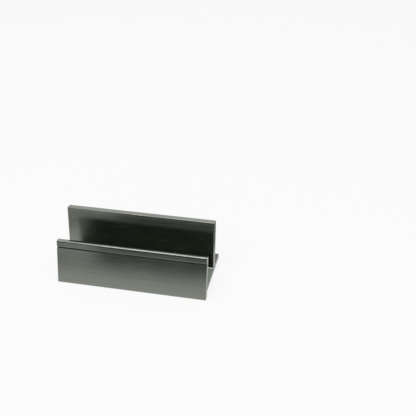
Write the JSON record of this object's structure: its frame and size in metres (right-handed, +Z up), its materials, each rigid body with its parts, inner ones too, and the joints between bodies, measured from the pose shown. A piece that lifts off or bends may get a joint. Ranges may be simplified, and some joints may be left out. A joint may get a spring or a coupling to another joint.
{
  "type": "business card holder",
  "caption": "Open-ended desk holder for business cards, with a low front wall and a higher back wall that lean back, and a foot behind.",
  "frame": {"origin": "on the desk, under the middle of the holder's footprint", "axes": "+X along the holder, to the reader's right; -Y towards the reader, where the low front wall is; +Z up"},
  "size_m": [0.1, 0.042, 0.0374],
  "materials": {
    "gunmetal": "satin gunmetal grey, drawn along the length",
    "screw_steel": "plain zinc-plated",
    "pad_rubber": "matt black"
  },
  "bodies": {
    "root": {"front_angle": "gunmetal", "back_tee": "gunmetal", "clamp_screw_1": "screw_steel", "clamp_screw_2": "screw_steel", "clamp_screw_3": "screw_steel", "clamp_screw_4": "screw_steel", "foot_pad_1": "pad_rubber", "foot_pad_2": "pad_rubber", "foot_pad_3": "pad_rubber", "foot_pad_4": "pad_rubber"}
  },
  "joints": []
}
